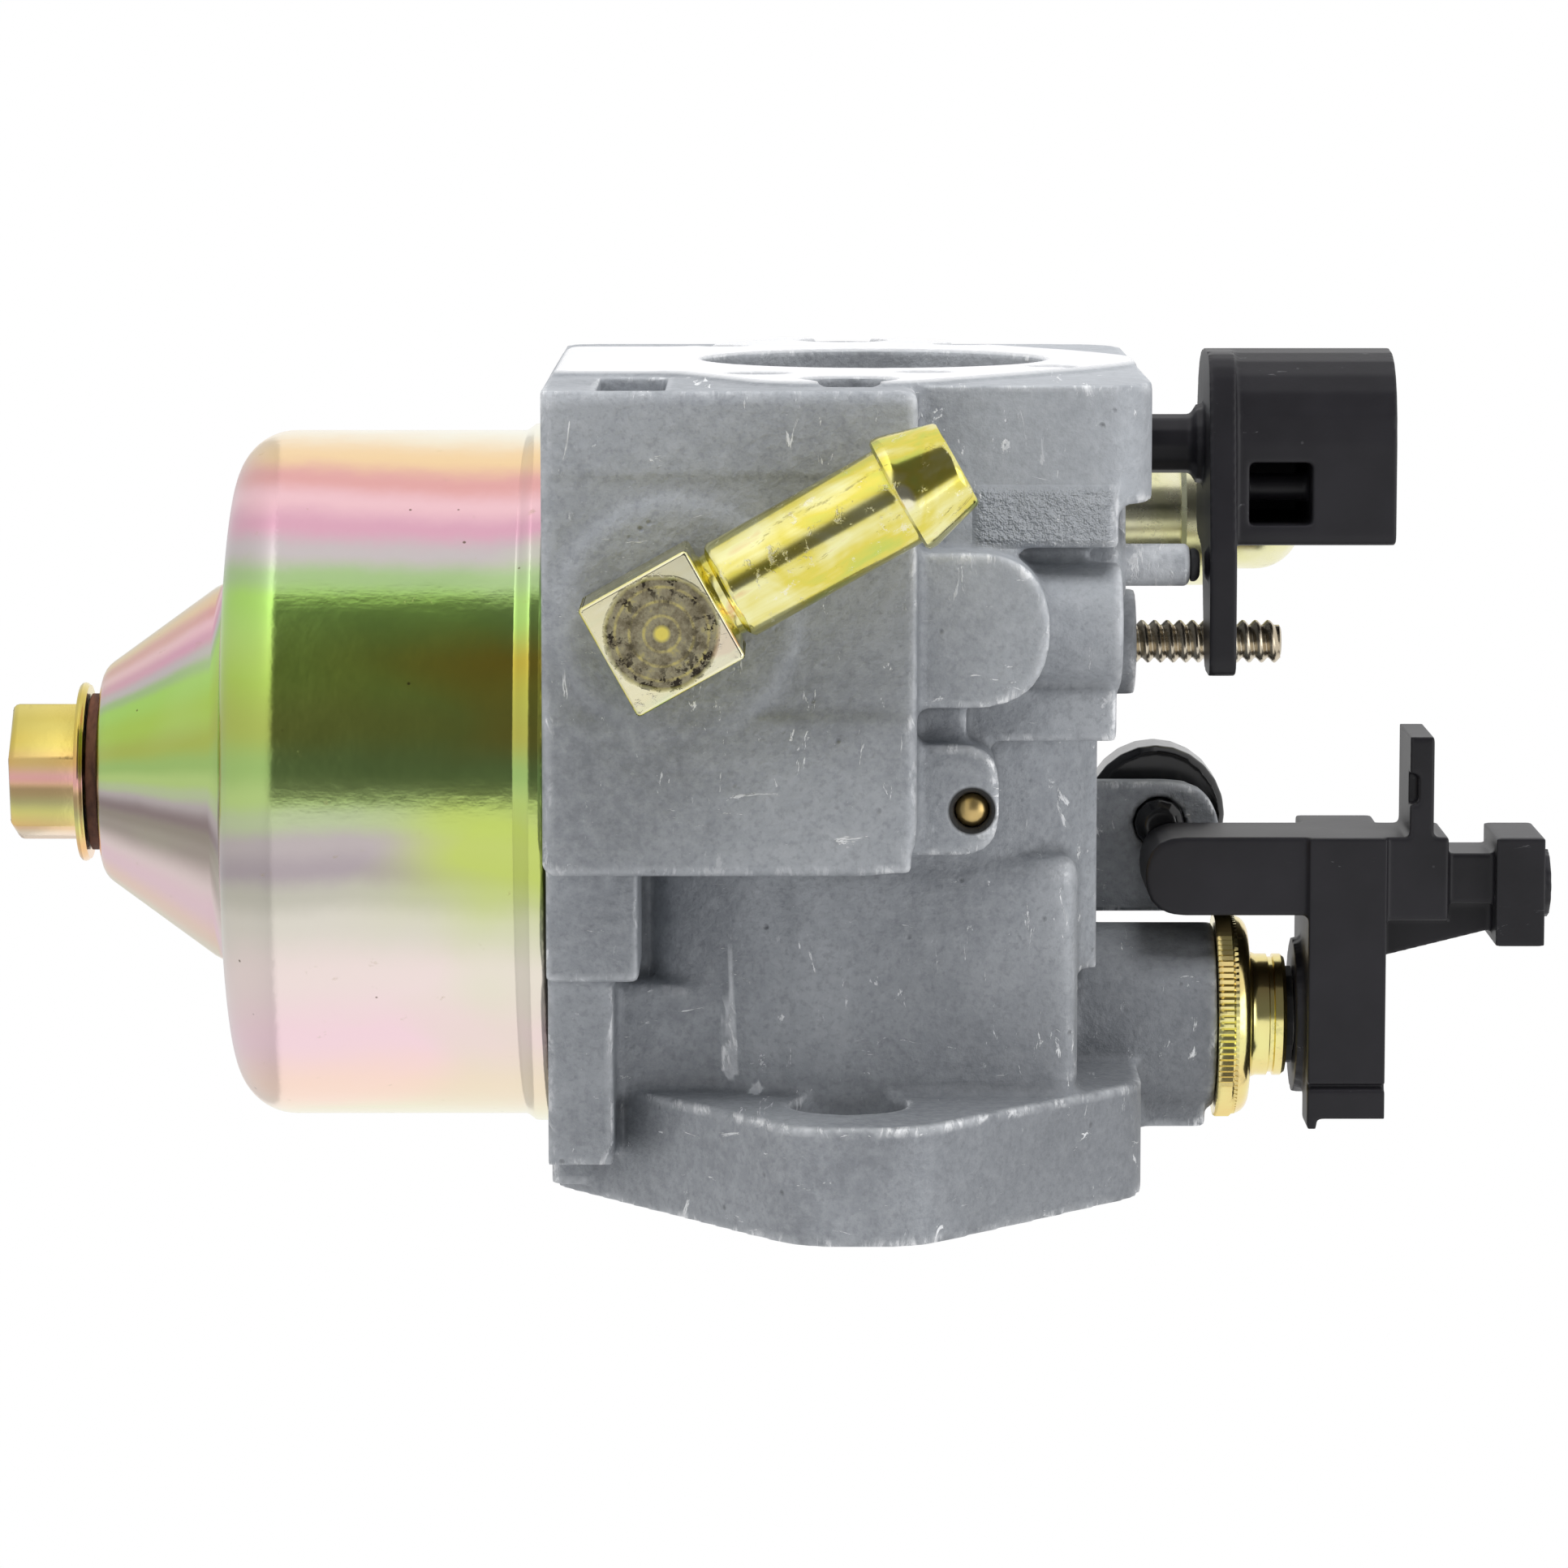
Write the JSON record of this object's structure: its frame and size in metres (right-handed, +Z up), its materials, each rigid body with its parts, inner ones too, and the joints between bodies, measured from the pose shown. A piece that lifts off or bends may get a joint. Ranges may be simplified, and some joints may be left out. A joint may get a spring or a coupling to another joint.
{
  "type": "carburetor",
  "caption": "Side-draft float carburetor for a small engine, with round fuel bowl, elbow fuel inlet, choke lever and throttle lever.",
  "frame": {"origin": "centre of the throttle bore on the outer face of the engine flange", "axes": "+X is the way the air flows, out of the engine flange; +Z is up, along both valve shafts; -Y is the fuel inlet side"},
  "size_m": [0.0648, 0.082, 0.1215],
  "materials": {
    "casting": "as-cast, fine sandy grain",
    "chromate": "bright iridescent chromate",
    "yellow_zinc": "bright yellow zinc plate",
    "gold_plate": "bright gold plate",
    "steel": "machined",
    "brass": "turned",
    "black_plastic": "satin moulded",
    "float_plastic": "moulded foam",
    "fibre": "pressed fibre",
    "rubber": "matte"
  },
  "bodies": {
    "casting": {"carburetor_body": "casting", "float_bowl": "chromate", "bowl_gasket": "rubber", "bowl_bolt": "chromate", "bowl_bolt_washer": "fibre", "float_pin": "steel", "needle_seat": "brass", "main_jet": "brass", "emulsion_tube": "brass", "pilot_jet": "brass", "choke_shaft_seal": "rubber", "choke_detent_post": "steel", "choke_detent_tip": "rubber", "throttle_shaft_cap": "gold_plate", "throttle_shaft_seal": "rubber", "cover_stud": "steel", "vent_fitting": "yellow_zinc", "passage_plug": "brass", "welch_plug": "brass", "fuel_inlet_elbow": "yellow_zinc"},
    "choke": {"choke_lever": "black_plastic", "choke_plate": "steel"},
    "throttle": {"throttle_shaft": "steel", "throttle_plate": "brass", "throttle_plate_screw": "steel", "throttle_lever": "black_plastic"},
    "stop_screw": {"throttle_stop_screw": "black_plastic"},
    "float_arm": {"float": "float_plastic"},
    "inlet_valve": {"float_needle": "brass"}
  },
  "joints": [
    {"name": "choke_turn", "type": "hinge", "parent": "casting", "child": "choke", "pos_m": [-0.0573, 0, 0.001], "axis": [0, 0, -1], "range_deg": [0, 80]},
    {"name": "throttle_turn", "type": "hinge", "parent": "casting", "child": "throttle", "pos_m": [-0.0117, 0, 0], "axis": [0, 0, 1], "range_deg": [0, 75]},
    {"name": "stop_screw_turn", "type": "hinge", "parent": "casting", "child": "stop_screw", "pos_m": [-0.0266, 0.009, 0.024], "axis": [0, 1, 0], "range_deg": [-180, 180]},
    {"name": "float_swing", "type": "hinge", "parent": "casting", "child": "float_arm", "pos_m": [-0.0525, 0, -0.0284], "axis": [0, -1, 0], "range_deg": [0, 8]},
    {"name": "needle_slide", "type": "slide", "parent": "casting", "child": "inlet_valve", "axis": [0, 0, 1], "range_m": [0, 0.0009]}
  ],
  "couplings": [
    {"joint": "needle_slide", "follows": "float_swing", "m_per_rad": 0.0058}
  ]
}
